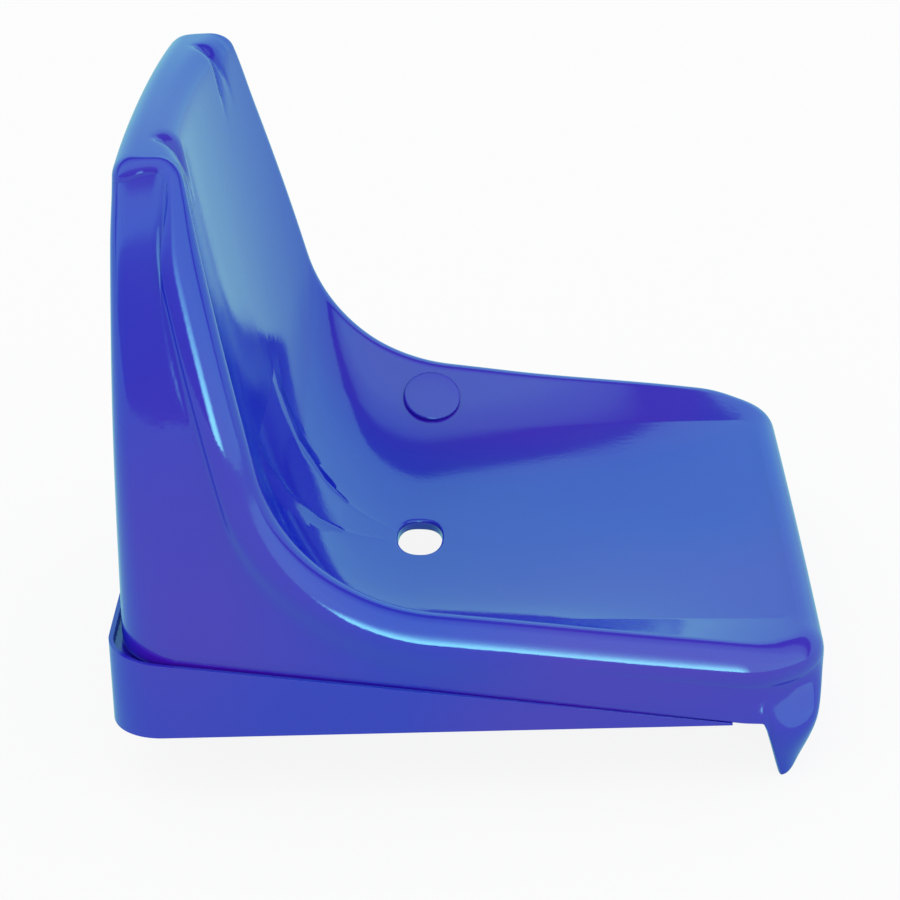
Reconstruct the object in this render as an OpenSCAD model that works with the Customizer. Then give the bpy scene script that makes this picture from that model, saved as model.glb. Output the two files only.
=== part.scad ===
// Monobloc bucket seat: a glossy moulded shell with a rolled rim, standing in a wedge-shaped plinth.
// The seat faces +X, its left side is +Y and +Z is up. The origin is at the middle of its depth and
// width, at the height of the lowest edge of the front apron.

/* [Overall] */
// Width across the plinth
seat_w = 430; // [400:1:470]
// Depth from the rear of the plinth to the front roll
seat_d = 437; // [420:1:460]
// How far the front apron hangs below the plane that the plinth stands on
apron_drop = 40; // [25:1:55]
// Wall thickness of the moulding
wall_t = 3.5; // [2.5:0.1:4.5]

/* [Backrest] */
// Height of the backrest's middle above the mounting plane
back_h = 342; // [300:1:380]
// How much lower the backrest's top is at its two ends
top_fall = 3; // [1:0.5:10]
// How much further back the middle of the rear wall lies than its ends
rear_bow = 2; // [0:0.5:6]
// Lean of the backrest's side edges from upright
edge_lean = 12.5; // [11:0.25:14]
// How far each side draws in at the top of the backrest
draw_in = 62; // [40:1:75]
// Height above the mounting plane at which the sides begin to draw in
draw_from = 130; // [110:5:170]
// Radius of the rounding at the top of the backrest's front
brow_r = 16; // [10:1:20]
// Radius of the rounding at the rear of the top
top_r = 14; // [8:1:18]
// Radius of the rounding at the two ends of the top
end_r = 6; // [4:0.5:10]

/* [Pan and wings] */
// Height of the wings' crest above the mounting plane, where it meets the line of the back edge
wing_h = 80; // [65:1:95]
// Distance from the plinth's rear to the corner of that crest
wing_x = 120; // [110:1:135]
// Fall of the wings' crest towards the front
wing_fall = 7.5; // [5:0.1:9]
// Radius of the bend between the back edge and the wing
wing_bend_r = 115; // [90:1:130]
// Height of the pan's lowest point above the mounting plane
pan_h = 25; // [18:1:28]
// Distance from the plinth's rear to the corner of the middle profile, behind the pan
pan_x = 101; // [92:1:114]
// Radius of the bend between the pan and the middle of the back
pan_bend_r = 105; // [80:1:130]
// Radius of the rolled rim along the wings and the backrest's edges
bead_r = 15; // [11:0.5:18]
// Depth of the step where the rolled rim meets the side wall
bead_step = 1.5; // [0:0.1:3]

/* [Front] */
// Height of the front roll's start above the mounting plane
front_h = 30; // [25:1:36]
// Radius of the front roll
front_r = 15; // [12:0.5:20]
// How much further back the front roll lies at its two ends than in the middle
front_bow = 3; // [0:0.5:6]
// Distance from the start of the front roll back to the crease that ends the pan
crease_set = 6; // [4:0.5:12]
// Height of the front roll's start above that crease
crease_dip = 2; // [0.5:0.25:4]
// Height of the wings' ends above the front roll
wing_end = 6; // [2:0.5:10]
// Distance from the front to the corner where the wings begin to drop
wing_drop_x = 27; // [24:1:44]
// Depth of the apron's root at its two ends, front to back
apron_d = 39; // [32:1:46]
// Thickness of the apron's tip
tip_t = 4; // [3:0.5:6]
// How far the apron's front face falls back at its tip
apron_fall = 25; // [14:1:28]
// How much lower the side wall ends next to the apron
notch_h = 1; // [0:0.5:6]
// How much narrower the apron is at its foot, each side
apron_draw = 8; // [4:1:12]

/* [Skirt] */
// Draft of the side walls
side_draft = 0.5; // [0.25:0.25:1.5]
// Draft of the rear wall
rear_draft = 3.4; // [2:0.1:4]
// Radius of the shell's rear corners, seen from above, less the rim's own radius
rear_corner_r = 6; // [3:1:10]
// Radius of the shell's rear corners at its foot
foot_corner_r = 36; // [30:1:44]
// Radius of the front corners, seen from above, less the rim's own radius
front_corner_r = 12; // [8:1:15]

/* [Plinth] */
// Rise of the plinth's upper edge towards the rear
wedge_angle = 8; // [5:0.25:10]
// Distance from the front to the point where the plinth dies out
wedge_x = 53; // [45:1:70]
// Height of the plinth's lip above the rebate that the shell stands in, at the rear
lip_h = 6; // [4:0.5:9]
// Thickness of the plinth's lip
lip_t = 3; // [2.5:0.1:4.5]
// Gap between the lip and the shell's side wall
lip_gap = 1.5; // [0.8:0.1:2.5]
// Gap between the lip and the shell's rear wall
rear_gap = 0.8; // [0.6:0.1:2]
// Radius of the plinth's rear corners
plinth_corner_r = 34; // [28:1:42]
// Width of the rebate's floor
shelf_w = 16; // [13:0.5:22]

/* [Fixing slot] */
// Width of the slot in the pan, front to back
slot_w = 28; // [20:1:34]
// Length of the slot, across the seat
slot_l = 54; // [36:1:64]
// Distance from the plinth's rear to the slot's centre
slot_x = 184; // [172:1:196]
// Depth of the collar round the slot, below the pan's upper face
collar_h = 7; // [5:0.5:12]

/* [Wing caps] */
// Diameter of a cap's head
cap_d = 41; // [30:1:44]
// Height that a cap's head stands proud
cap_t = 2.6; // [1.6:0.1:4]
// Diameter of a cap's stem
stem_d = 12; // [8:0.5:16]
// Length of a cap's stem
stem_l = 11; // [9:0.5:16]
// How far the snap ring stands out from the stem
snap_d = 0.9; // [0.5:0.1:1.5]
// Distance from the plinth's rear to a cap's centre
cap_x = 190; // [178:1:202]

/* [Fits] */
// Clearance between pieces that fit together
fit_gap = 0.3; // [0.1:0.05:0.5]

/* [Hidden] */
seat_blue = [0.16, 0.29, 0.78];
x_rear = -seat_d / 2;
x_front = seat_d / 2;
z_base = apron_drop;
lip_min = 0.8;
rim_set = 1;

// ---- the plane that the shell's foot stands on, and the rear wall that rises from it ----
foot_slope = tan(wedge_angle) - lip_h / (seat_d - wedge_x);
function foot_z(x) = z_base + max(0, foot_slope * (x_front - wedge_x - x));
rear_foot_x = x_rear + rear_bow + lip_t + rear_gap;
rear_foot_z = foot_z(rear_foot_x);
function rear_wall(z, g) = rear_foot_x + g + tan(rear_draft) * (z - rear_foot_z);

// ---- small functions ----
function clamp01(u) = min(1, max(0, u));
function mix(a, b, u) = a + (b - a) * u;
function unit(v) = v / norm(v);
function total(v, n) = n <= 0 ? 0 : v[n - 1] + total(v, n - 1);
// The points of a fillet of radius r at corner v between a and b
function fillet(a, v, b, r, n) = let(
    u = unit(a - v), w = unit(b - v), half = acos(u * w) / 2,
    c = v + unit(u + w) * r / sin(half),
    p = v + u * r / tan(half) - c, q = v + w * r / tan(half) - c,
    a0 = atan2(p.y, p.x), turn = atan2(q.y, q.x) - a0,
    d = turn > 180 ? turn - 360 : turn < -180 ? turn + 360 : turn)
    [for (i = [0:n]) c + r * [cos(a0 + d * i / n), sin(a0 + d * i / n)]];
// A line of corners v with fillets r, each cut in n steps
function filleted(v, r, n) = concat([v[0]],
    [for (i = [1:len(v) - 2]) each fillet(v[i - 1], v[i], v[i + 1], r[i], n[i])], [v[len(v) - 1]]);

// ---- the apron's end: where it starts, and its front and back faces at height z ----
apron_root = x_front - apron_d;
apron_top = z_base + front_h - front_r;
function apron_front(z) = let(u = clamp01((apron_top - z) / apron_top))
    x_front - apron_fall * (0.4 * u + 0.6 * (1 - sqrt(max(0, 1 - u * u))));
function apron_back(z) = let(v = clamp01((z_base - notch_h - z) / (z_base - notch_h)))
    apron_root + (x_front - front_bow - apron_fall - tip_t - apron_root) * pow(v, 2.2);

// ---- profiles, as [x, z]: along the side edges, and along the middle ----
wing_corner = [x_rear + wing_x, z_base + wing_h];
side_top = z_base + back_h - top_fall;
brow_x = wing_corner.x - tan(edge_lean) * (side_top - wing_corner.y);
top_rear_x = rear_wall(side_top - top_r, 0) + top_r;
top_flat = brow_x - top_rear_x;
drop_corner = [x_front - wing_drop_x, wing_corner.y - tan(wing_fall) * (x_front - wing_drop_x - wing_corner.x)];
front_start = [x_front - front_r, z_base + front_h];
steps = [0, 8, 24, 10, 0];
side_profile = filleted(
    [[top_rear_x, side_top], [brow_x, side_top], wing_corner, drop_corner, front_start + [0, wing_end]],
    [0, brow_r, wing_bend_r, 12, 0], steps);
mid_profile = filleted(
    [[top_rear_x - rear_bow, z_base + back_h], [brow_x - 9, z_base + back_h],
     [x_rear + pan_x, z_base + pan_h], front_start - [crease_set, crease_dip], front_start],
    [0, brow_r, pan_bend_r, 5, 0], steps);
// Length travelled along the mean of the two profiles, up to each of their points
gaps = [for (i = [1:len(side_profile) - 1])
    norm(side_profile[i] + mid_profile[i] - side_profile[i - 1] - mid_profile[i - 1]) / 2];
run = [for (i = [0:len(gaps)]) total(gaps, i)];
run_end = run[len(run) - 1];
side_x = [for (i = [0:len(run) - 1]) [run[i], side_profile[i].x]];
side_z = [for (i = [0:len(run) - 1]) [run[i], side_profile[i].y]];
mid_x = [for (i = [0:len(run) - 1]) [run[i], mid_profile[i].x]];
mid_z = [for (i = [0:len(run) - 1]) [run[i], mid_profile[i].y]];

// ---- the seat's upper surface ----
// Share of the plinth's rise that is left at x, the lip's thickness there, and the side wall's inset from
// the rolled rim, which keeps the wall clear of the lip
function rise_share(x) = clamp01((x_front - wedge_x - x) / (seat_d - wedge_x));
function lip_at(x) = mix(lip_min, lip_t, min(1, 2 * rise_share(x)));
function inset_at(x) = lip_at(x) + lip_gap * rise_share(x) + fit_gap - rim_set;
function drawn_in(z) = draw_in * pow(max(0, z - z_base - draw_from) / (side_top - z_base - draw_from), 2);
function half_w(z) = seat_w / 2 - bead_r - rim_set - tan(side_draft) * (z - z_base) - drawn_in(z);
full_half = seat_w / 2 - bead_r;
// Point at run s and share t of the half width
function seat_point(s, t) = let(
    sx = lookup(s, side_x), sz = lookup(s, side_z), a = min(1, abs(t)),
    ahead = clamp01((s / run_end - 0.70) / 0.22),
    dish = mix(pow(a, 2.2), pow(clamp01((a - 0.85) / 0.15), 1.1), ahead * ahead * (3 - 2 * ahead)),
    bow = front_bow * a * a * pow(s / run_end, 8))
    [mix(lookup(s, mid_x), sx, dish) - bow, t * half_w(sz), mix(lookup(s, mid_z), sz, dish)];
function seat_normal(s, t) = let(e = 0.5, f = 0.004)
    unit(cross(seat_point(s + e, t) - seat_point(s - e, t), seat_point(s, t + f) - seat_point(s, t - f)));

// ---- columns: places round the rim, as [run, y, outward run, outward y] ----
// Radius of the rolled rim on the side edge at run s: tight at the end of the top, full below the brow
function side_r(s) = let(u = clamp01((s - top_flat) / 60)) mix(end_r, bead_r, u * u * (3 - 2 * u));
function spread(a, b, n) = [for (i = [1:n]) mix(a, b, i / n)];
// Runs at which the back edge's straights and fillets end, and the stops in each; then the wing's stops,
// up to the apron's root and on to the front corner
mark_run = [0, run[1], run[steps[1] + 1], run[steps[1] + 2], run[steps[1] + steps[2] + 2]];
mark_stops = [2, 4, 6, 10];
wing_run = [for (i = [steps[1] + steps[2] + 2:len(run) - 1]) [side_profile[i].x, run[i]]];
root_run = lookup(apron_root, wing_run);
side_stops = concat(
    [for (i = [0:3], j = [0:mark_stops[i] - 1]) mix(mark_run[i], mark_run[i + 1], j / mark_stops[i])],
    [mark_run[4]], spread(mark_run[4], root_run - 45, 5), spread(root_run - 45, root_run, 4),
    spread(root_run, run_end - front_corner_r, 5));
rear_in = full_half + bead_r - end_r - rear_corner_r;
front_in = full_half - front_corner_r;
half_columns = concat(
    [for (y = concat([12], spread(12, rear_in, 6))) [0, y, -1, 0]],
    [for (a = spread(0, 90, 6)) [rear_corner_r * (1 - cos(a)), rear_in + rear_corner_r * sin(a), -cos(a), sin(a)]],
    [for (s = side_stops) if (s > rear_corner_r + 3) [s, full_half + bead_r - side_r(s), 0, 1]],
    [for (a = concat([0], spread(0, 90, 4)))
        [run_end - front_corner_r * (1 - sin(a)), front_in + front_corner_r * cos(a), sin(a), cos(a)]],
    [for (y = spread(front_in, 12, 7)) [run_end, y, 1, 0]]);
half_n = len(half_columns);
columns = concat(
    [for (c = half_columns) c],
    [for (i = [half_n - 1:-1:0]) let(c = half_columns[i]) [c[0], -c[1], c[2], -c[3]]]);
col_n = len(columns);

// ---- the slot in the pan ----
slot_run = let(m = [for (i = [0:len(run) - 1]) if (mid_profile[i].y < z_base + 60) [mid_profile[i].x, run[i]]])
    lookup(x_rear + slot_x, m);
// Edge of the slot, grown by g, in the direction of column c
function slot_edge(c, g) = let(a = atan2(c[1], c[0] - slot_run), w = slot_w / 2 + g, l = slot_l / 2 + g,
    r = pow(pow(abs(cos(a)) / w, 2.4) + pow(abs(sin(a)) / l, 2.4), -1 / 2.4))
    [slot_run + r * cos(a), r * sin(a) / full_half];

// ---- the shell's rings ----
function rim_share(c) = c[3] * c[3];
function rim_radius(c) = mix(c[2] < 0 ? top_r : front_r, side_r(c[0]), rim_share(c));
// Point of the seat at share w of the way from the slot to the rim, lowered by g along the normal
function pan_ring(w, g) = [for (c = columns) let(h = slot_edge(c, 0),
    s = mix(h[0], c[0], w), t = mix(h[1], c[1] / full_half, w))
    seat_point(s, t) - g * seat_normal(s, t)];
rim = pan_ring(1, 0);
// How far the rim's own normal is turned upright: fully along the front, partly where the wings drop
function upright(c) = let(u = clamp01((c[0] - run_end + 110) / 90)) max(c[2], u * u * (3 - 2 * u));
raw_normals = [for (c = columns) unit(mix(seat_normal(c[0], c[1] / full_half), [0, 0, 1], upright(c)))];
rim_normals = [for (i = [0:col_n - 1]) unit([1, 1, 1, 1, 1] * [for (d = [-2:2]) raw_normals[(i + d + col_n) % col_n]])];
rim_out = [for (i = [0:col_n - 1]) let(
    along = unit(rim[(i + 1) % col_n] - rim[(i + col_n - 1) % col_n]), o = cross(rim_normals[i], along))
    unit(o)];
// The rolled rim at angle a from the seat's surface, g inside the outer face
function bead_ring(a, g) = [for (i = [0:col_n - 1]) let(r = rim_radius(columns[i]))
    rim[i] - r * rim_normals[i] + (r - g) * (sin(a) * rim_out[i] + cos(a) * rim_normals[i])];
// How far the step below the rolled rim cuts in: only beside the backrest and the bend
function step_depth(c) = bead_step * rim_share(c) * clamp01((side_top - 20 - lookup(c[0], side_z)) / 20)
    * clamp01((lookup(c[0], side_z) - z_base - 75) / 60);
function step_ring(g) = let(b = bead_ring(90, g)) [for (i = [0:col_n - 1])
    b[i] - step_depth(columns[i]) * (3 * rim_normals[i] + rim_out[i])];
outer_edge = step_ring(0);
// Foot of a wall column at x, just clear of the plinth's shelf and a little lower next to the apron
function lower_z(x) = foot_z(x) + (x < x_front - wedge_x - 4 ? fit_gap : 0)
    - notch_h * clamp01((x - apron_root + notch_h) / notch_h);
// Rear and side walls at height z, g inside the outer face, and their rounded corner below the top
function side_wall(x, z, g) = half_w(z) + bead_r - inset_at(x) - g;
function round_corner(p, g, share) = let(r = foot_corner_r - g,
    c = [rear_wall(p.z, g) + r, side_wall(p.x, p.z, g) - r], v = [c.x - p.x, abs(p.y) - c.y], m = norm(v))
    v.x > 0 && v.y > 0 && m > r ? let(q = [c.x, c.y] + [-v.x, v.y] * r / m)
        [mix(p.x, q.x, share), sign(p.y) * mix(abs(p.y), q.y, share), p.z] : p;
// The skirt at share u of the way down, g inside the outer face
function skirt_ring(u, g) = let(top = step_ring(g)) [for (i = [0:col_n - 1]) let(c = columns[i], edge = outer_edge[i])
    edge.x > apron_root ? apron_point(edge, c, u, g) : wall_point(top[i], edge, c, u, g)];
function apron_point(edge, c, u, g) = let(
    z = mix(edge.z, 0, u), drop = clamp01((apron_top - z) / apron_top))
    [mix(apron_back(z), apron_front(z) - front_bow * pow(edge.y / full_half, 2),
         (edge.x - apron_root) / (apron_d - front_bow * pow(edge.y / full_half, 2))) - g * c[2],
     edge.y - sign(edge.y) * abs(c[3]) * apron_draw * drop - g * c[3], z];
function wall_point(top, edge, c, u, g) = let(
    back = c[2] < 0 ? -c[2] * tan(rear_draft) : 0,
    low = lower_z(top.x - back * (top.z - z_base - 50)),
    z = mix(top.z, low, u), fall = edge.z - z, x = top.x - back * fall,
    beside = min(1, abs(top.y) / (half_w(top.z) + bead_r - g)),
    y = mix(top.y, sign(top.y) * beside * side_wall(x, z, g), clamp01(fall / 14)))
    round_corner([x, y, z], g, u);
function lowered(ring, d) = [for (p = ring) p - [0, 0, d]];
function slot_ring(g, d) = [for (c = columns) let(h = slot_edge(c, g)) seat_point(h[0], h[1]) - [0, 0, d]];

pan_stops = [0.05, 0.12, 0.2, 0.28, 0.36, 0.44, 0.53, 0.65, 0.78, 0.86, 0.9, 0.94, 0.97];
pan_stops_n = len(pan_stops);
outer_rings = concat(
    [slot_ring(0, 1.5), slot_ring(1.2, 0)],
    [for (w = pan_stops) pan_ring(w, 0)],
    [rim],
    [for (a = [22.5, 45, 67.5, 90]) bead_ring(a, 0)],
    [outer_edge],
    [for (u = [0.15, 0.35, 0.55, 0.75, 0.9, 1]) skirt_ring(u, 0)]);
inner_rings = concat(
    [for (u = [1, 0.75, 0.5, 0.25]) skirt_ring(u, wall_t)],
    [step_ring(wall_t)],
    [for (a = [67.5, 45, 0]) bead_ring(a, wall_t)],
    [for (i = [pan_stops_n - 2:-1:0]) pan_ring(pan_stops[i], wall_t)],
    [slot_ring(3.2, wall_t), slot_ring(2.8, collar_h), slot_ring(0, collar_h)]);

// A closed skin over rings of equal length, each joined to the next and the last to the first
module ring_skin(rings) {
    m = len(rings);
    n = len(rings[0]);
    polyhedron(
        points = [for (r = rings) each r],
        faces = [for (i = [0:m - 1], j = [0:n - 1]) let(
            a = i * n + j, b = i * n + (j + 1) % n, c = ((i + 1) % m) * n + (j + 1) % n, d = ((i + 1) % m) * n + j)
            each [[a, c, b], [a, d, c]]],
        convexity = 10);
}

// ---- wing caps ----
cap_run = let(m = [for (i = [0:len(run) - 1]) if (side_profile[i].y < z_base + 120) [side_profile[i].x, run[i]]])
    lookup(x_rear + cap_x, m);
cap_share = 0.86;
cap_seat = seat_point(cap_run, cap_share);
cap_axis = seat_normal(cap_run, cap_share);
// Turns +Z to the cap's axis and moves to its seat
module on_wing() {
    translate(cap_seat)
        rotate([0, acos(cap_axis.z), atan2(cap_axis.y, cap_axis.x)])
            children();
}

module wing_cap() {
    color(seat_blue * 1.05)
    on_wing() {
        translate([0, 0, fit_gap])
            rotate_extrude($fn = 64)
                polygon([[0, 0], [cap_d / 2, 0], [cap_d / 2, cap_t - 0.8], [cap_d / 2 - 0.8, cap_t], [0, cap_t]]);
        translate([0, 0, fit_gap - stem_l])
            cylinder(d = stem_d, h = stem_l + 0.5, $fn = 48);
        // Snap ring that holds the stem below the wall
        rotate_extrude($fn = 48)
            polygon([[0, -stem_l], [stem_d / 2 - 1, -stem_l], [stem_d / 2 + snap_d, -wall_t - fit_gap - 1.2],
                [stem_d / 2 + snap_d, -wall_t - fit_gap], [0, -wall_t - fit_gap]]);
    }
}

module seat_shell() {
    color(seat_blue)
    difference() {
        ring_skin(concat(outer_rings, inner_rings));
        for (side = [0, 1])
            mirror([0, side, 0])
                on_wing() {
                    translate([0, 0, -2 * wall_t]) cylinder(d = stem_d + 2 * fit_gap, h = 4 * wall_t, $fn = 48);
                    cylinder(d = cap_d + 2 * fit_gap, h = 4 * wall_t, $fn = 64);
                }
    }
}

// ---- plinth ----
plinth_in = seat_w / 2 - plinth_corner_r;
wedge_end = x_front - wedge_x - 8;
corner_x = x_rear + rear_bow + plinth_corner_r;
// Places round the plinth's foot, as [x, y, outward x, outward y], from the left arm to the right one
plinth_side = [for (u = [6:-1:1]) [mix(corner_x, wedge_end, u / 6), seat_w / 2, 0, 1]];
plinth_corner = [for (a = [90:-10:0])
    [corner_x - plinth_corner_r * cos(a), plinth_in + plinth_corner_r * sin(a), -cos(a), sin(a)]];
plinth_rear = [for (y = [5:-1:1]) [x_rear + rear_bow * pow(y / 6, 2.2), plinth_in * y / 6, -1, 0]];
plinth_left = concat(plinth_side, plinth_corner, plinth_rear);
plinth_path = concat(plinth_left, [[x_rear, 0, -1, 0]],
    [for (i = [len(plinth_left) - 1:-1:0]) let(p = plinth_left[i]) [p[0], -p[1], p[2], -p[3]]]);
function wedge_z(x) = z_base + tan(wedge_angle) * (x_front - wedge_x - x);
// The plinth's section at a place: outer face, lip, rebate, shelf and inner face
function plinth_section(p) = let(
    lip = lip_at(p[0]), thick = min(wall_t - 0.2, 0.4 * (foot_z(p[0]) - z_base)),
    place = function (g) [p[0] - p[2] * g, p[1] - p[3] * g],
    base = function (g) [place(g).x, place(g).y, z_base],
    shelf = function (g, d) [place(g).x, place(g).y, foot_z(place(g).x) - d],
    edge = function (g) [place(g).x, place(g).y, wedge_z(place(g).x)])
    [base(0), edge(0.2), edge(lip), shelf(lip, 0), shelf(shelf_w, 0), shelf(shelf_w, thick),
     shelf(wall_t, thick), base(wall_t)];

module base_plinth() {
    sections = [for (p = plinth_path) plinth_section(p)];
    m = len(sections);
    n = len(sections[0]);
    color(seat_blue * 0.95)
    polyhedron(
        points = [for (s = sections) each s],
        faces = concat(
            [for (i = [0:m - 2], j = [0:n - 1]) let(
                a = i * n + j, b = i * n + (j + 1) % n, c = (i + 1) * n + (j + 1) % n, d = (i + 1) * n + j)
                each [[a, c, d], [a, b, c]]],
            [[for (j = [n - 1:-1:0]) j]],
            [[for (j = [0:n - 1]) (m - 1) * n + j]]),
        convexity = 10);
}

module left_wing_cap() {
    wing_cap();
}

module right_wing_cap() {
    mirror([0, 1, 0]) wing_cap();
}

seat_shell();
base_plinth();
left_wing_cap();
right_wing_cap();
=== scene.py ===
"""Bucket seat: a glossy blue moulded shell with a rolled rim, on a wedge-shaped plinth."""
import math
from bisect import bisect_right

import bmesh
import bpy
from mathutils import Matrix, Vector


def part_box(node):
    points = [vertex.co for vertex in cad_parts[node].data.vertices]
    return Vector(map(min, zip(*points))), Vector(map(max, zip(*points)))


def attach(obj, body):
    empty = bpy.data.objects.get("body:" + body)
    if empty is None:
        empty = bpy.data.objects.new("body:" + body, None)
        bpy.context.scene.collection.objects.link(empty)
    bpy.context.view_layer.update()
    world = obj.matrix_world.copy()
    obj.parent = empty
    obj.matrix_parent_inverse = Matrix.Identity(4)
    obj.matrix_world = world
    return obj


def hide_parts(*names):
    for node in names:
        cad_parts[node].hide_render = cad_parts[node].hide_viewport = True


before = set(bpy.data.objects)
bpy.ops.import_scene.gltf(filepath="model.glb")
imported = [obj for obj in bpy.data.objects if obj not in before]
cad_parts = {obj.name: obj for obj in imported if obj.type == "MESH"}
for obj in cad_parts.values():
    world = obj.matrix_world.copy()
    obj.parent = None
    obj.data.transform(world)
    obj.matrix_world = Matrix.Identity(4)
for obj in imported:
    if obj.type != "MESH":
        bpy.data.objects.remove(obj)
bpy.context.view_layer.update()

# ---- Moulded shell ----
# One polypropylene moulding: pan, wings and backrest run into each other, and the whole edge rolls over
# into skirts that hang behind, beside and before. Its face is swept between a profile along the side
# edges and one along the middle. The skirts stand on the plinth's shelf.
shell_high = Vector(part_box("seat_shell")[1])
plinth_low, plinth_high = (Vector(corner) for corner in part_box("base_plinth"))
box_clearance = 0.001
rear_x = plinth_low.x
front_x = -rear_x - box_clearance
seat_width = plinth_high.y - plinth_low.y
base_z = plinth_low.z
top_z = shell_high.z - 0.00005
wall = 0.0035
fit_gap = 0.0003


def mix(a, b, u):
    return a + (b - a) * u


def clamp01(u):
    return min(1.0, max(0.0, u))


def ease(u):
    v = clamp01(u)
    return v * v * (3 - 2 * v)


def tan_deg(angle):
    return math.tan(math.radians(angle))


def spread(a, b, count):
    return [mix(a, b, (i + 1) / count) for i in range(count)]


def fillet(before, corner, after, radius, steps):
    """Points of the arc that rounds a corner between two neighbours."""
    to_before = (before - corner).normalized()
    to_after = (after - corner).normalized()
    half = to_before.angle(to_after) / 2
    centre = corner + (to_before + to_after).normalized() * radius / math.sin(half)
    start = corner + to_before * radius / math.tan(half) - centre
    end = corner + to_after * radius / math.tan(half) - centre
    turn = -start.angle_signed(end)
    return [centre + Matrix.Rotation(turn * i / steps, 2) @ start for i in range(steps + 1)]


def filleted(corners, radii, steps):
    """A line of corners with each inner one rounded."""
    line = [corners[0]]
    for i, radius in enumerate(radii, start=1):
        line += fillet(corners[i - 1], corners[i], corners[i + 1], radius, steps[i - 1])
    return line + [corners[-1]]


class Along:
    """A quantity looked up by the length travelled."""

    def __init__(self, places, values):
        self.places = places
        self.values = values

    def __call__(self, place):
        i = min(max(bisect_right(self.places, place) - 1, 0), len(self.places) - 2)
        gap = self.places[i + 1] - self.places[i]
        u = clamp01((place - self.places[i]) / gap) if gap > 0 else 0.0
        return mix(self.values[i], self.values[i + 1], u)


# The plane that the foot stands on, and the rear wall that rises from it
wedge_slope = tan_deg(8)
plinth_end_x = front_x - 0.052
plinth_run = plinth_end_x - rear_x
foot_slope = wedge_slope - 0.006 / plinth_run
rear_bow = 0.002
lip_thick = 0.003
rear_gap = 0.0036


def foot_z(x):
    return base_z + max(0.0, foot_slope * (plinth_end_x - x))


def wedge_z(x):
    return base_z + wedge_slope * (plinth_end_x - x)


def plinth_lean(z):
    return tan_deg(1.2) * (z - base_z)


rear_foot_x = rear_x + rear_bow + plinth_lean(wedge_z(rear_x)) + lip_thick + rear_gap
rear_foot_z = foot_z(rear_foot_x)
rear_draft = tan_deg(2.7)


def rear_wall(z, inset):
    return rear_foot_x + inset + rear_draft * (z - rear_foot_z)


# The two profiles, as (x, z)
bead_radius = 0.016
top_radius = 0.014
end_radius = 0.008
front_radius = 0.015
crease_set = 0.005
wing_corner = Vector((rear_x + 0.120, base_z + 0.081))
side_top = top_z - 0.003
brow_x = wing_corner.x - tan_deg(12.5) * (side_top - wing_corner.y)
top_rear_x = rear_wall(side_top - top_radius, 0) + top_radius
drop_x = front_x - 0.033
drop_corner = Vector((drop_x, wing_corner.y - tan_deg(7.5) * (drop_x - wing_corner.x)))
front_start = Vector((front_x - front_radius, base_z + 0.038))
profile_steps = [24, 72, 30]
side_profile = filleted(
    [Vector((top_rear_x, side_top)), Vector((brow_x, side_top)), wing_corner, drop_corner,
     front_start + Vector((0, 0.004))],
    [0.016, 0.115, 0.012], profile_steps)
mid_profile = filleted(
    [Vector((top_rear_x - rear_bow, top_z)), Vector((brow_x - 0.009, top_z)),
     Vector((rear_x + 0.101, base_z + 0.022)), front_start - Vector((crease_set, 0.002)), front_start],
    [0.016, 0.105, 0.005], profile_steps)
run = [0.0]
for i in range(1, len(side_profile)):
    step = side_profile[i] - side_profile[i - 1] + mid_profile[i] - mid_profile[i - 1]
    run.append(run[-1] + step.length / 2)
run_end = run[-1]
side_x = Along(run, [p.x for p in side_profile])
side_z = Along(run, [p.y for p in side_profile])
mid_x = Along(run, [p.x for p in mid_profile])
mid_z = Along(run, [p.y for p in mid_profile])

# The seat's face: a bowl beside the backrest that flattens towards the front, with a crease at the wings
full_half = seat_width / 2 - bead_radius
front_bow = 0.0015
rim_set = 0.001
crease_at = 0.78
crease_rise = 0.4
crease_ring = 0.86


waist_height = 0.130
top_draw = 0.062
side_draft = tan_deg(0.5)


def half_width(z):
    """Half the seat's width at a height; above the waist the backrest draws in."""
    drawn = top_draw * (max(0.0, z - base_z - waist_height) / (side_top - base_z - waist_height)) ** 2
    return full_half - rim_set - side_draft * (z - base_z) - drawn


def flat_dish(a):
    if a < crease_at:
        return crease_rise * (a / crease_at) ** 2
    return mix(crease_rise, 1, (a - crease_at) / (1 - crease_at))


end_reach = 1.05
brow_fade = 0.060
bowl_start = 0.095
bowl_fade = 0.060
tub_narrowing = 0.0058
tub_sinking = 0.0018


def past_brow(s):
    """0 up to the brow, 1 once the run has left it behind."""
    return ease((s - brow_x + top_rear_x) / brow_fade)


def seat_point(s, t):
    """Point of the seat's face at run s and share t of its half width."""
    a = min(mix(end_reach, 1, past_brow(s)), abs(t))
    edge_x = side_x(s)
    edge_z = side_z(s)
    flat = ease((s / run_end - 0.7) / 0.22)
    bowl = ease((edge_x - rear_x - bowl_start) / bowl_fade)
    tub = bowl * (1 - flat)
    dish = mix(mix(a ** 2.2, mix(a ** 2, a ** 6, 0.7), bowl), flat_dish(a), flat)
    bow = front_bow * a * a * (max(0.0, s) / run_end) ** 8
    return Vector((mix(mid_x(s), edge_x, dish) - bow, t * (half_width(edge_z) - tub_narrowing * tub),
                   mix(mid_z(s), edge_z - tub_sinking * tub, dish)))


def seat_normal(s, t):
    along = seat_point(s + 0.0005, t) - seat_point(s - 0.0005, t)
    across = seat_point(s, t + 0.004) - seat_point(s, t - 0.004)
    return along.cross(across).normalized()


# Columns: places round the rim, as (run, y, outward run, outward y)
rear_corner = 0.006
front_corner = 0.034
apron_depth = 0.038
apron_root = front_x - apron_depth
rear_in = full_half + bead_radius - end_radius - rear_corner
front_in = full_half - front_corner
mark_run = [0.0, run[1], run[profile_steps[0] + 1], run[profile_steps[0] + 2],
            run[profile_steps[0] + profile_steps[1] + 2]]


def rim_radius_beside(s):
    return mix(end_radius, bead_radius, past_brow(s))


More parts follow.
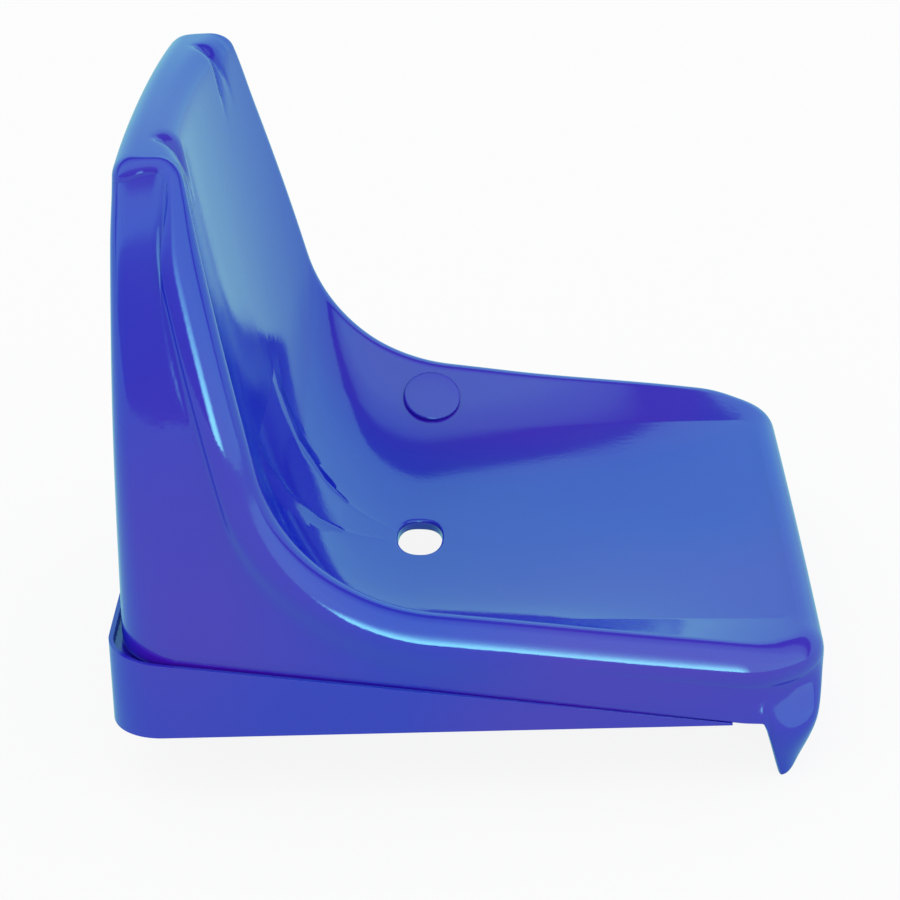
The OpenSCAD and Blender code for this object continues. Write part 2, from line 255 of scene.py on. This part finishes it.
side_stops = []
for start, end, count in zip(mark_run, mark_run[1:], [4, 8, 14, 26]):
    side_stops += [mix(start, end, i / count) for i in range(count)]
side_stops += [mark_run[4]] + spread(mark_run[4], run_end - front_corner, 22)
first_y = 0.006
half_columns = [(0.0, y, -1.0, 0.0) for y in [first_y] + spread(first_y, rear_in, 14)]
for angle in spread(0, math.pi / 2, 8):
    half_columns.append((rear_corner * (1 - math.cos(angle)), rear_in + rear_corner * math.sin(angle),
                         -round(math.cos(angle), 9), math.sin(angle)))
corner_end = len(half_columns) - 1
for s in side_stops:
    if s > rear_corner + 0.003:
        half_columns.append((s, full_half + bead_radius - rim_radius_beside(s), 0.0, 1.0))
root_angle = math.asin((front_corner - front_x + front_radius + apron_root) / (front_corner + front_radius))
for angle in [root_angle / 2, root_angle, root_angle + 0.05, root_angle + 0.1] + \
        spread(root_angle + 0.1, math.pi / 2, 10):
    half_columns.append((run_end - front_corner * (1 - math.sin(angle)),
                         front_in + front_corner * math.cos(angle), math.sin(angle), math.cos(angle)))
half_columns += [(run_end, y, 1.0, 0.0) for y in spread(front_in, first_y, 16)]
columns = half_columns + [(s, -y, out_s, -out_y) for s, y, out_s, out_y in reversed(half_columns)]
column_count = len(columns)

# The slot in the pan, whose ends are rounded by the power
slot_half = Vector((0.014, 0.027))
slot_power = 2.4
pan_runs = [(p.x, r) for p, r in zip(mid_profile, run) if p.y < base_z + 0.060]
slot_run = Along([x for x, r in pan_runs], [r for x, r in pan_runs])(rear_x + 0.184)


def slot_edge(column, grown):
    angle = math.atan2(column[1], column[0] - slot_run)
    across = abs(math.cos(angle)) / (slot_half.x + grown)
    length = abs(math.sin(angle)) / (slot_half.y + grown)
    reach = (across ** slot_power + length ** slot_power) ** (-1 / slot_power)
    return slot_run + reach * math.cos(angle), reach * math.sin(angle) / full_half


def slot_ring(grown, lowered):
    return [seat_point(*slot_edge(column, grown)) - Vector((0, 0, lowered)) for column in columns]


def crease_share(column):
    """Share of the way from the slot to the rim at which a column crosses the crease."""
    slot_s, slot_t = slot_edge(column, 0)
    t = abs(column[1]) / full_half
    last = run_end - crease_set
    share = 1.0 if column[0] > last or t > crease_at else crease_ring
    if t > crease_at:
        share = min(share, (crease_at - abs(slot_t)) / (t - abs(slot_t)))
    if column[0] > last:
        share = min(share, (last - slot_s) / (column[0] - slot_s))
    return share


def pan_ring(share, inset):
    """Ring at a share of the way from the slot to the rim; the one at crease_ring follows the crease."""
    ring = []
    for column in columns:
        slot_s, slot_t = slot_edge(column, 0)
        crossing = crease_share(column)
        if share < crease_ring:
            way = share * crossing / crease_ring
        else:
            way = mix(crossing, 1, (share - crease_ring) / (1 - crease_ring))
        s = mix(slot_s, column[0], way)
        t = mix(slot_t, column[1] / full_half, way)
        ring.append(seat_point(s, t) - inset * seat_normal(s, t))
    return ring


# The rolled rim, which turns a little past upright beside the seat, so that a groove runs below it
bead_overturn = math.radians(28)
groove_fade = 0.020


def rim_share(column):
    return column[3] * column[3]


def rim_radius(column):
    radius = top_radius if column[2] < 0 else front_radius
    return mix(radius, rim_radius_beside(column[0]), rim_share(column))


def upright(column):
    return max(column[2], ease((column[0] - run_end + 0.110) / 0.090))


rim = pan_ring(1, 0)
raw_normals = []
for column in columns:
    face_normal = seat_normal(column[0], column[1] / full_half)
    raw_normals.append(face_normal.lerp(Vector((0, 0, 1)), upright(column)).normalized())
rim_normals = []
rim_outs = []
for i in range(column_count):
    near = [raw_normals[(i + d) % column_count] for d in range(-4, 5)]
    rim_normals.append(sum(near, Vector()).normalized())
    along = (rim[(i + 1) % column_count] - rim[i - 1]).normalized()
    rim_outs.append(rim_normals[i].cross(along).normalized())


def groove_share(column):
    below_top = clamp01((side_top - groove_fade - side_z(column[0])) / groove_fade)
    return min(1.0, 2 * rim_share(column)) * below_top


def bead_ring(angle, past, inset):
    """The rolled rim at an angle from the seat's face, and a share of the way past upright."""
    ring = []
    for place, normal, out, column in zip(rim, rim_normals, rim_outs, columns):
        radius = rim_radius(column)
        full = angle + past * bead_overturn * groove_share(column)
        turned = math.sin(full) * out + math.cos(full) * normal
        ring.append(place - radius * normal + (radius - inset) * turned)
    return ring


upright_angle = math.pi / 2
outer_edge = bead_ring(upright_angle, 1, 0)

# The skirts: side and rear walls down to the plinth, and the apron in front
notch = 0.001
foot_corner = 0.036
flare = 0.024
apron_flare = 0.034
line_gap = 0.0006
gutter = 0.0015
apron_top = base_z + 0.038 - front_radius
apron_fall = 0.025
apron_tip = 0.004
apron_corner = 0.020
apron_draw = 0.008


def rise_share(x):
    return clamp01((plinth_end_x - x) / plinth_run)


def lip_at(x):
    return mix(0.0008, lip_thick, min(1.0, 2 * rise_share(x)))


def wall_inset(x):
    """How far the wall stands in from the rim, to leave room for the lip and gutter."""
    beside_plinth = clamp01((plinth_end_x + 0.012 - x) / 0.008)
    return (lip_at(x) + gutter * rise_share(x) + fit_gap) * beside_plinth - rim_set


def lower_z(x):
    gap = fit_gap if x < plinth_end_x - 0.004 else 0.0
    return foot_z(x) + gap - notch * clamp01((x - apron_root + notch) / notch)


def side_wall(x, z, inset):
    return half_width(z) + bead_radius - wall_inset(x) - inset


def round_corner(place, inset, share):
    radius = foot_corner - inset
    centre = Vector((rear_wall(place.z, inset) + radius, side_wall(place.x, place.z, inset) - radius))
    reach = Vector((centre.x - place.x, abs(place.y) - centre.y))
    if reach.x <= 0 or reach.y <= 0 or reach.length <= radius:
        return place
    rounded = centre + Vector((-reach.x, reach.y)) * radius / reach.length
    y = math.copysign(mix(abs(place.y), rounded.y, share), place.y)
    return Vector((mix(place.x, rounded.x, share), y, place.z))


def wall_lines(tops):
    """Where each line of the wall comes down along the seat, so that none crosses the one before it."""
    lines = [top.x for top in tops]
    for i in range(corner_end + len(side_stops) // 2, corner_end, -1):
        lines[i] = min(lines[i], lines[i + 1] - line_gap)
        lines[-1 - i] = lines[i]
    return lines


def wall_point(top, line, edge, column, share, inset, corner_y):
    lean = -column[2] * rear_draft if column[2] < 0 else 0.0
    low = lower_z(line - lean * (top.z - base_z - 0.050))
    z = mix(top.z, low, share)
    fall = edge.z - z
    x = mix(top.x, line, clamp01(fall / flare)) - lean * fall
    beside = min(1.0, abs(top.y) / corner_y) if column[2] < 0 else 1.0
    flat_y = math.copysign(beside * side_wall(x, z, inset), top.y)
    y = mix(top.y, flat_y, ease(fall / flare))
    return round_corner(Vector((x, y, z)), inset, share)


def apron_point(edge, column, share, inset):
    z = mix(edge.z, 0.0, share)
    drop = clamp01(1 - z / (base_z - notch))
    fall = clamp01((apron_top - z) / apron_top)
    below = clamp01((base_z - notch - z) / (base_z - notch))
    bow = front_bow * (edge.y / full_half) ** 2
    front = front_x - apron_fall * (0.4 * fall + 0.6 * (1 - math.sqrt(max(0.0, 1 - fall * fall)))) - bow
    back = apron_root + (front_x - front_bow - apron_fall - apron_tip - apron_root) * below ** 2.2
    x = mix(back, front, (edge.x - apron_root) / (apron_depth - bow))
    corner = min(apron_corner, 1.2 * (front - back))
    into = clamp01((x - front) / corner + 1)
    end_y = seat_width / 2 - apron_draw * drop
    if column[3] == 0:
        low_y = abs(edge.y) * (end_y - corner) / front_in
    else:
        low_y = end_y - corner * (1 - math.sqrt(max(0.0, 1 - into * into)))
    y = math.copysign(mix(abs(edge.y), low_y, ease((edge.z - z) / apron_flare)), edge.y)
    return Vector((x - inset * column[2], y - inset * column[3], z))


def skirt_ring(share, inset):
    ring = []
    tops = bead_ring(upright_angle, 1, inset)
    for top, line, edge, column in zip(tops, wall_lines(tops), outer_edge, columns):
        if edge.x > apron_root:
            ring.append(apron_point(edge, column, share, inset))
        else:
            ring.append(wall_point(top, line, edge, column, share, inset, tops[corner_end].y))
    return ring


# The mesh starts as a circle round the slot and is extruded ring by ring over the pan, the rolled rim and
# the skirts, then back up inside, and its last ring is bridged to its first
collar = 0.007
pan_stops = [0.03, 0.07, 0.12, 0.17, 0.22, 0.28, 0.34, 0.40, 0.46, 0.52, 0.58, 0.64, 0.70, 0.76, 0.81, 0.84,
             0.853, crease_ring, 0.867, 0.885, 0.905, 0.921, 0.932, 0.943, 0.954, 0.964, 0.974, 0.984, 0.992]
skirt_stops = [0.04, 0.09, 0.15, 0.22, 0.30, 0.40, 0.50, 0.60, 0.70, 0.80, 0.89, 0.95, 0.985, 1.0]
shell_rings = [slot_ring(0, 0.0016), slot_ring(0.0003, 0.0005), slot_ring(0.0012, 0)]
shell_rings += [pan_ring(share, 0) for share in pan_stops] + [rim]
shell_rings += [bead_ring(angle, 0, 0) for angle in spread(0, upright_angle, 9)]
shell_rings += [bead_ring(upright_angle, past, 0) for past in (0.36, 0.72, 0.94, 1)]
shell_rings += [skirt_ring(share, 0) for share in skirt_stops]
shell_rings += [skirt_ring(share, wall) for share in reversed(skirt_stops[1::2])]
shell_rings += [bead_ring(upright_angle, 1, wall)]
shell_rings += [bead_ring(math.radians(angle), 0, wall) for angle in (80, 55, 30, 8)]
shell_rings += [pan_ring(share, wall) for share in reversed(pan_stops[1::3])]
shell_rings += [slot_ring(0.0034, wall), slot_ring(0.0028, wall + 0.0008), slot_ring(0.0026, collar - 0.0003),
                slot_ring(0.0022, collar), slot_ring(0.0003, collar), slot_ring(0, collar - 0.0004)]


def ring_mesh(rings, closed):
    """A skin over rings of equal length, extruded one from the other."""
    bm = bmesh.new()
    ring = bmesh.ops.create_circle(bm, segments=len(rings[0]), radius=1)["verts"]
    for vert, place in zip(ring, rings[0]):
        vert.co = place
    first = list(bm.edges)
    edges = first
    for places in rings[1:]:
        grown = bmesh.ops.extrude_edge_only(bm, edges=edges)["geom"]
        fresh = {part for part in grown if isinstance(part, bmesh.types.BMVert)}
        edges = [part for part in grown if isinstance(part, bmesh.types.BMEdge)
                 and all(vert in fresh for vert in part.verts)]
        ring = [next(edge.other_vert(vert) for edge in vert.link_edges if edge.other_vert(vert) in fresh)
                for vert in ring]
        for vert, place in zip(ring, places):
            vert.co = place
    if closed:
        bmesh.ops.bridge_loops(bm, edges=first + edges)
    else:
        bmesh.ops.holes_fill(bm, edges=first + edges)
    if bm.calc_volume(signed=True) < 0:
        bmesh.ops.reverse_faces(bm, faces=bm.faces)
    return bm


def new_piece(name, bm, material):
    mesh = bpy.data.meshes.new(name)
    for face in bm.faces:
        face.smooth = True
    bm.to_mesh(mesh)
    bm.free()
    piece = bpy.data.objects.new(name, mesh)
    bpy.context.scene.collection.objects.link(piece)
    mesh.materials.append(material)
    return piece


# The plastic: a violet blue whose pigment drifts a little at random, with painted shade in a deeper violet
# low on the rear of the shell's side walls, under a skin with the mould's slow waves
def make_flow_group():
    """Slow waves and fine orange peel that the mould leaves on a glossy surface, as one height."""
    group = bpy.data.node_groups.new("mould_flow", "ShaderNodeTree")
    group.interface.new_socket(name="Vector", in_out="INPUT", socket_type="NodeSocketVector")
    for name, value in (("Wave Scale", 9.0), ("Peel Scale", 260.0), ("Peel Share", 0.05)):
        socket = group.interface.new_socket(name=name, in_out="INPUT", socket_type="NodeSocketFloat")
        socket.default_value = value
    group.interface.new_socket(name="Height", in_out="OUTPUT", socket_type="NodeSocketFloat")
    nodes = group.nodes
    links = group.links
    into = nodes.new("NodeGroupInput")
    out = nodes.new("NodeGroupOutput")
    wave = nodes.new("ShaderNodeTexNoise")
    wave.inputs["Detail"].default_value = 1.5
    wave.inputs["Roughness"].default_value = 0.4
    peel = nodes.new("ShaderNodeTexNoise")
    peel.inputs["Detail"].default_value = 2.0
    both = nodes.new("ShaderNodeMix")
    links.new(into.outputs["Vector"], wave.inputs["Vector"])
    links.new(into.outputs["Vector"], peel.inputs["Vector"])
    links.new(into.outputs["Wave Scale"], wave.inputs["Scale"])
    links.new(into.outputs["Peel Scale"], peel.inputs["Scale"])
    links.new(into.outputs["Peel Share"], both.inputs["Factor"])
    links.new(wave.outputs["Fac"], both.inputs["A"])
    links.new(peel.outputs["Fac"], both.inputs["B"])
    links.new(both.outputs["Result"], out.inputs["Height"])
    return group


flow_group = make_flow_group()


# Where the painted shade lies: the outer side walls, low down and towards the rear
side_start, side_full = 0.185, 0.207
high_start, low_full = 0.330, 0.130
fore_start, aft_full = -0.050, -0.140


def blue_plastic(name, blue, drift_and_shade_violet, sheen_blue, roughness, wave_scale, bump, rear_painted_shade):
    """Glossy blue polypropylene; seen along its surface, the colour turns to a painted sheen of greener blue.
    """
    material = bpy.data.materials.new(name)
    material.use_nodes = True
    nodes = material.node_tree.nodes
    links = material.node_tree.links
    shader = nodes["Principled BSDF"]
    place = nodes.new("ShaderNodeTexCoord")
    drift = nodes.new("ShaderNodeTexNoise")
    drift.inputs["Scale"].default_value = 4.0
    drift.inputs["Detail"].default_value = 1.0
    drift_range = nodes.new("ShaderNodeMapRange")
    drift_range.inputs["From Min"].default_value = 0.45
    drift_range.inputs["From Max"].default_value = 0.62
    pigment_and_shade = nodes.new("ShaderNodeMix")
    pigment_and_shade.data_type = "RGBA"
    pigment_and_shade.inputs["A"].default_value = (*blue, 1)
    pigment_and_shade.inputs["B"].default_value = (*drift_and_shade_violet, 1)
    split = nodes.new("ShaderNodeSeparateXYZ")
    beside = nodes.new("ShaderNodeMath")
    beside.operation = "ABSOLUTE"
    outer = nodes.new("ShaderNodeMapRange")
    outer.inputs["From Min"].default_value = side_start
    outer.inputs["From Max"].default_value = side_full
    low = nodes.new("ShaderNodeMapRange")
    low.inputs["From Min"].default_value = high_start
    low.inputs["From Max"].default_value = low_full
    behind = nodes.new("ShaderNodeMapRange")
    behind.inputs["From Min"].default_value = fore_start
    behind.inputs["From Max"].default_value = aft_full
    behind.inputs["To Max"].default_value = rear_painted_shade
    # Painted shade: the colour turns deeper violet low on the rear of the side walls, by the share given for
    # the rear
    low_side_shade = nodes.new("ShaderNodeMath")
    low_side_shade.operation = "MULTIPLY"
    rear_side_shade = nodes.new("ShaderNodeMath")
    rear_side_shade.operation = "MULTIPLY"
    share = nodes.new("ShaderNodeMath")
    share.operation = "MAXIMUM"
    links.new(place.outputs["Object"], drift.inputs["Vector"])
    links.new(place.outputs["Object"], split.inputs["Vector"])
    links.new(split.outputs["Y"], beside.inputs[0])
    links.new(beside.outputs["Value"], outer.inputs["Value"])
    links.new(split.outputs["Z"], low.inputs["Value"])
    links.new(split.outputs["X"], behind.inputs["Value"])
    links.new(outer.outputs["Result"], low_side_shade.inputs[0])
    links.new(low.outputs["Result"], low_side_shade.inputs[1])
    links.new(low_side_shade.outputs["Value"], rear_side_shade.inputs[0])
    links.new(behind.outputs["Result"], rear_side_shade.inputs[1])
    links.new(drift.outputs["Fac"], drift_range.inputs["Value"])
    links.new(drift_range.outputs["Result"], share.inputs[0])
    links.new(rear_side_shade.outputs["Value"], share.inputs[1])
    links.new(share.outputs["Value"], pigment_and_shade.inputs["Factor"])
    # Painted sheen: seen along the surface, the colour turns to a greener blue that stands in for the cool
    # reflection
    sheen_facing = nodes.new("ShaderNodeLayerWeight")
    sheen_facing.inputs["Blend"].default_value = 0.35
    colour = nodes.new("ShaderNodeMix")
    colour.data_type = "RGBA"
    colour.inputs["B"].default_value = (*sheen_blue, 1)
    links.new(sheen_facing.outputs["Facing"], colour.inputs["Factor"])
    links.new(pigment_and_shade.outputs["Result"], colour.inputs["A"])
    links.new(colour.outputs["Result"], shader.inputs["Base Color"])
    flow = nodes.new("ShaderNodeGroup")
    flow.node_tree = flow_group
    flow.inputs["Wave Scale"].default_value = wave_scale
    relief = nodes.new("ShaderNodeBump")
    relief.inputs["Strength"].default_value = 1.0
    relief.inputs["Distance"].default_value = bump
    links.new(place.outputs["Object"], flow.inputs["Vector"])
    links.new(flow.outputs["Height"], relief.inputs["Height"])
    links.new(relief.outputs["Normal"], shader.inputs["Normal"])
    smear = nodes.new("ShaderNodeTexNoise")
    smear.inputs["Scale"].default_value = 22.0
    smear.inputs["Detail"].default_value = 3.0
    gloss = nodes.new("ShaderNodeMapRange")
    gloss.inputs["From Min"].default_value = 0.3
    gloss.inputs["From Max"].default_value = 0.7
    gloss.inputs["To Min"].default_value = roughness * 0.7
    gloss.inputs["To Max"].default_value = roughness * 1.3
    links.new(place.outputs["Object"], smear.inputs["Vector"])
    links.new(smear.outputs["Fac"], gloss.inputs["Value"])
    links.new(gloss.outputs["Result"], shader.inputs["Roughness"])
    shader.inputs["IOR"].default_value = 1.5
    shader.inputs["Specular IOR Level"].default_value = 1.0
    shader.inputs["Specular Tint"].default_value = (0.7, 1.0, 0.9, 1)
    return material


# The deep violet serves the pigment's random drift and, on the shell only, the painted shade low on the rear
# of its side walls
violet_blue = (0.036, 0.012, 0.58)
deep_violet_drift_and_shade = (0.075, 0.006, 0.55)
# A painted sheen: the greener blue that the colour turns to where the surface is seen along it
painted_sheen_blue = (0.0, 0.03, 0.58)
shell_plastic = blue_plastic("shell_plastic", violet_blue, deep_violet_drift_and_shade, painted_sheen_blue, 0.09, 7.0, 0.0008, 1.0)
moulded_shell = new_piece("moulded_shell", ring_mesh(shell_rings, closed=True), shell_plastic)
rounding = moulded_shell.modifiers.new("smooth_flow", "SUBSURF")
rounding.levels = 1
rounding.render_levels = 1
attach(moulded_shell, "root")
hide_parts("seat_shell")

# ---- Base plinth ----
# A low wedge moulded on its own, open to the front, of the same polypropylene but a little duller. Its
# lip stands round the shell's foot with a narrow gutter between, and a shelf inside the lip carries the
# shell.
plinth_corner = 0.034
shelf_width = 0.016
plinth_in = seat_width / 2 - plinth_corner
corner_x = rear_x + rear_bow + plinth_corner
arm_end_x = plinth_end_x - 0.008
half_path = [(x, seat_width / 2, 0.0, 1.0) for x in spread(arm_end_x, corner_x, 12)]
half_path.insert(0, (arm_end_x, seat_width / 2, 0.0, 1.0))
for angle in spread(upright_angle, 0, 18):
    half_path.append((corner_x - plinth_corner * math.cos(angle), plinth_in + plinth_corner * math.sin(angle),
                      -math.cos(angle), math.sin(angle)))
for share in spread(1, 0, 10)[:-1]:
    half_path.append((rear_x + rear_bow * share ** 2.2, plinth_in * share, -1.0, 0.0))
plinth_path = half_path + [(rear_x, 0.0, -1.0, 0.0)]
plinth_path += [(x, -y, out_x, -out_y) for x, y, out_x, out_y in reversed(half_path)]


def plinth_section(x, y, out_x, out_y):
    """Outer face, lip, gutter, shelf and inner face at one place of the plinth."""
    lip = lip_at(x)
    thick = min(wall - 0.0002, 0.4 * (foot_z(x) - base_z))

    def at(inset, z):
        lean = out_x * out_x * plinth_lean(z)
        return Vector((x - out_x * inset + lean, y - out_y * inset, z))

    def lip_top(inset):
        return at(inset, wedge_z(x - out_x * inset))

    def shelf(inset, lowered):
        return at(inset, foot_z(x - out_x * inset) - lowered)

    return [at(0, base_z), lip_top(0.0002), lip_top(lip), shelf(lip, 0), shelf(shelf_width, 0),
            shelf(shelf_width, thick), shelf(wall, thick), at(wall, base_z)]


plinth_plastic = blue_plastic("plinth_plastic", violet_blue, deep_violet_drift_and_shade, painted_sheen_blue,
                              0.11, 9.0, 0.0006, 0.0)
plinth_mesh = ring_mesh([plinth_section(*place) for place in plinth_path], closed=False)
wedge_plinth = new_piece("wedge_plinth", plinth_mesh, plinth_plastic)
edge_break = wedge_plinth.modifiers.new("broken_edges", "BEVEL")
edge_break.width = 0.00035
edge_break.segments = 2
edge_break.limit_method = "ANGLE"
edge_break.angle_limit = math.radians(40)
edge_break.harden_normals = True
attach(wedge_plinth, "root")
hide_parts("base_plinth")

# ---- Wing caps ----
# A round snap-in cap on each wing covers the hole of a fixing. It is injection moulded, with a faintly
# domed face, a soft edge and a ringed stem that clips under the wing.
cap_radius = 0.0205
cap_thick = 0.0028
cap_lift = 0.0012
stem_radius = 0.006
stem_length = 0.011
snap_top = -wall - cap_lift - 0.001
wing_runs = [(p.x, r) for p, r in zip(side_profile, run) if p.y < base_z + 0.120]
cap_run = Along([x for x, r in wing_runs], [r for x, r in wing_runs])(rear_x + 0.190)
cap_share = 0.91
cap_axis = (seat_normal(cap_run, cap_share) + Vector((0, 0, 0.1))).normalized()
cap_seat = seat_point(cap_run, cap_share) + cap_lift * cap_axis
cap_face = fit_gap + cap_thick
cap_profile = [
    (0, cap_face), (cap_radius * 0.5, cap_face - 0.00008), (cap_radius - 0.0016, cap_face - 0.0003),
    (cap_radius - 0.0007, cap_face - 0.0005), (cap_radius - 0.0002, cap_face - 0.0009),
    (cap_radius, cap_face - 0.0015), (cap_radius, fit_gap + 0.0002), (cap_radius - 0.0002, fit_gap),
    (stem_radius, fit_gap), (stem_radius, snap_top + 0.0001), (stem_radius + 0.0009, snap_top),
    (stem_radius + 0.0009, snap_top - 0.0012), (stem_radius - 0.001, -stem_length), (0, -stem_length)]
cap_plastic = blue_plastic("cap_plastic", violet_blue, deep_violet_drift_and_shade, painted_sheen_blue, 0.10, 9.0, 0.0004, 0.0)
for name, node, side in (("left_cap", "left_wing_cap", 1), ("right_cap", "right_wing_cap", -1)):
    cap_mesh = bmesh.new()
    turned = [cap_mesh.verts.new((radius, 0, z)) for radius, z in cap_profile]
    outline = [cap_mesh.edges.new(pair) for pair in zip(turned, turned[1:])]
    bmesh.ops.spin(cap_mesh, geom=turned + outline, cent=(0, 0, 0), axis=(0, 0, 1), angle=2 * math.pi,
                   steps=72, use_merge=True)
    bmesh.ops.remove_doubles(cap_mesh, verts=cap_mesh.verts, dist=0.00001)
    turn = cap_axis.to_track_quat("Z", "Y").to_matrix().to_4x4()
    bmesh.ops.transform(cap_mesh, verts=cap_mesh.verts, matrix=Matrix.Translation(cap_seat) @ turn)
    bmesh.ops.scale(cap_mesh, verts=cap_mesh.verts, vec=(1, side, 1))
    bmesh.ops.recalc_face_normals(cap_mesh, faces=cap_mesh.faces)
    cap = new_piece(name, cap_mesh, cap_plastic)
    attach(cap, "root")
    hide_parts(node)

# ---- Studio ----
# A pale floor that the seat's shadow falls on, under an even white sky. What the gloss shows is a cool
# surround: dim in a band behind the seat, brighter overhead, and brightest in a long low window before it.
studio_white = (1, 1, 1, 1)
cool_light = (0.42, 1.0, 0.95)
sky_light = 0.95
floor_reflection = 0.75
floor_glow_share = 0.9


def ray_switch(nodes, links, kind, plain, shown):
    """One colour on rays of the named kind, another on the rest."""
    path = nodes.new("ShaderNodeLightPath")
    switch = nodes.new("ShaderNodeMix")
    switch.data_type = "RGBA"
    links.new(path.outputs[kind], switch.inputs["Factor"])
    for socket, colour in (("A", plain), ("B", shown)):
        if isinstance(colour, bpy.types.NodeSocket):
            links.new(colour, switch.inputs[socket])
        else:
            switch.inputs[socket].default_value = colour
    return switch.outputs["Result"]


floor_mesh = bmesh.new()
bmesh.ops.create_grid(floor_mesh, x_segments=1, y_segments=1, size=6)
floor_paint = bpy.data.materials.new("floor_paint")
floor_paint.use_nodes = True
floor_nodes = floor_paint.node_tree.nodes
floor_links = floor_paint.node_tree.links
floor_shader = floor_nodes["Principled BSDF"]
floor_shader.inputs["Base Color"].default_value = (0.8, 0.8, 0.8, 1)
floor_shader.inputs["Roughness"].default_value = 0.9
floor_glow = floor_nodes.new("ShaderNodeEmission")
cool_floor = (*(part * floor_reflection for part in cool_light), 1)
floor_links.new(ray_switch(floor_nodes, floor_links, "Is Glossy Ray", studio_white, cool_floor),
                floor_glow.inputs["Color"])
grey = (floor_glow_share,) * 3 + (1,)
black = (0, 0, 0, 1)
floor_share = ray_switch(floor_nodes, floor_links, "Is Camera Ray",
                         ray_switch(floor_nodes, floor_links, "Is Glossy Ray", black, grey), grey)
floor_mix = floor_nodes.new("ShaderNodeMixShader")
floor_links.new(floor_share, floor_mix.inputs["Fac"])
floor_links.new(floor_shader.outputs["BSDF"], floor_mix.inputs[1])
floor_links.new(floor_glow.outputs["Emission"], floor_mix.inputs[2])
floor_links.new(floor_mix.outputs["Shader"], floor_nodes["Material Output"].inputs["Surface"])
floor = new_piece("floor", floor_mesh, floor_paint)

# What the gloss shows, by the angle from behind the seat (+Y), overhead, to before it (-Y), in half turns:
# the surround towards the rear end, the surround towards the front end, and the window's own light
surround_at = (0.0, 0.188, 0.198, 0.285, 0.33, 0.42, 0.5, 0.72, 0.80, 0.87, 0.93, 0.96, 1.0)
rear_light = (0.85, 0.85, 0.2, 0.2, 0.7, 1.0, 1.3, 1.2, 0.6, 0.4, 0.35, 0.35, 0.35)
front_light = (0.85, 0.85, 0.2, 0.2, 0.7, 1.0, 1.3, 1.4, 1.5, 1.5, 1.5, 1.5, 1.5)
window_light = (0.0, 0.0, 0.0, 0.0, 0.0, 0.0, 0.0, 0.0, 0.4, 2.0, 5.5, 7.5, 7.5)
brightest = 10.0
world = bpy.data.worlds.new("studio")
bpy.context.scene.world = world
world.use_nodes = True
sky_nodes = world.node_tree.nodes
sky_links = world.node_tree.links


def sky_math(operation, first, second):
    node = sky_nodes.new("ShaderNodeMath")
    node.operation = operation
    for socket, value in zip(node.inputs, (first, second)):
        if isinstance(value, bpy.types.NodeSocket):
            sky_links.new(value, socket)
        else:
            socket.default_value = value
    return node.outputs[0]


def sky_range(value, start, end):
    """0 before the start, 1 after the end."""
    node = sky_nodes.new("ShaderNodeMapRange")
    node.inputs["From Min"].default_value = start
    node.inputs["From Max"].default_value = end
    sky_links.new(value, node.inputs["Value"])
    return node.outputs["Result"]


def sky_ramp(angle, lights):
    ramp = sky_nodes.new("ShaderNodeValToRGB")
    stops = ramp.color_ramp.elements
    while len(stops) < len(lights):
        stops.new(0.5)
    for stop, place, light in zip(stops, surround_at, lights):
        stop.position = place
        stop.color = (light / brightest,) * 3 + (1,)
    sky_links.new(angle, ramp.inputs["Fac"])
    return sky_math("MULTIPLY", ramp.outputs["Color"], brightest)


direction = sky_nodes.new("ShaderNodeTexCoord")
parts = sky_nodes.new("ShaderNodeSeparateXYZ")
sky_links.new(direction.outputs["Generated"], parts.inputs["Vector"])
turn_up = sky_math("DIVIDE", sky_math("ARCTAN2", parts.outputs["Z"], parts.outputs["Y"]), math.pi)
beside_seat = sky_math("ADD", sky_math("ABSOLUTE", parts.outputs["Y"], 0), 0.01)
endways = sky_math("DIVIDE", parts.outputs["X"], beside_seat)
to_front = sky_range(endways, -0.12, 0.05)
before_end = sky_math("SUBTRACT", 1.0, sky_range(endways, 0.22, 0.42))
rear_part = sky_math("MULTIPLY", sky_ramp(turn_up, rear_light), sky_math("SUBTRACT", 1.0, to_front))
front_part = sky_math("ADD", sky_ramp(turn_up, front_light),
                      sky_math("MULTIPLY", sky_ramp(turn_up, window_light), before_end))
shown_light = sky_math("ADD", rear_part, sky_math("MULTIPLY", front_part, to_front))
cooled = sky_nodes.new("ShaderNodeVectorMath")
cooled.operation = "SCALE"
cooled.inputs[0].default_value = cool_light
sky_links.new(shown_light, cooled.inputs["Scale"])
plain_sky = (sky_light, sky_light, sky_light, 1)
in_gloss = ray_switch(sky_nodes, sky_links, "Is Glossy Ray", plain_sky, cooled.outputs["Vector"])
sky_links.new(ray_switch(sky_nodes, sky_links, "Is Camera Ray", in_gloss, studio_white),
              sky_nodes["Background"].inputs["Color"])

# ---- Camera ----
# A long lens before the seat's right side, looking down on it and turned a little about its own axis.
scene = bpy.context.scene
camera_data = bpy.data.cameras.new("camera")
camera_data.sensor_width = 36
camera_data.lens = 103.9
camera = bpy.data.objects.new("camera", camera_data)
scene.collection.objects.link(camera)
azimuth = math.radians(2.24)
elevation = math.radians(23.607)
roll = math.radians(-2.443)
back = Vector((math.sin(azimuth) * math.cos(elevation), -math.cos(azimuth) * math.cos(elevation),
               math.sin(elevation)))
right = Vector((0, 0, 1)).cross(back).normalized()
up = back.cross(right)
turned_right = math.cos(roll) * right + math.sin(roll) * up
turned_up = math.cos(roll) * up - math.sin(roll) * right
camera_place = (0.0493, -1.56604, 0.81441)
camera_turn = Matrix((turned_right, turned_up, back)).transposed().to_4x4()
camera.matrix_world = Matrix.Translation(camera_place) @ camera_turn
scene.camera = camera
scene.view_settings.view_transform = "Standard"
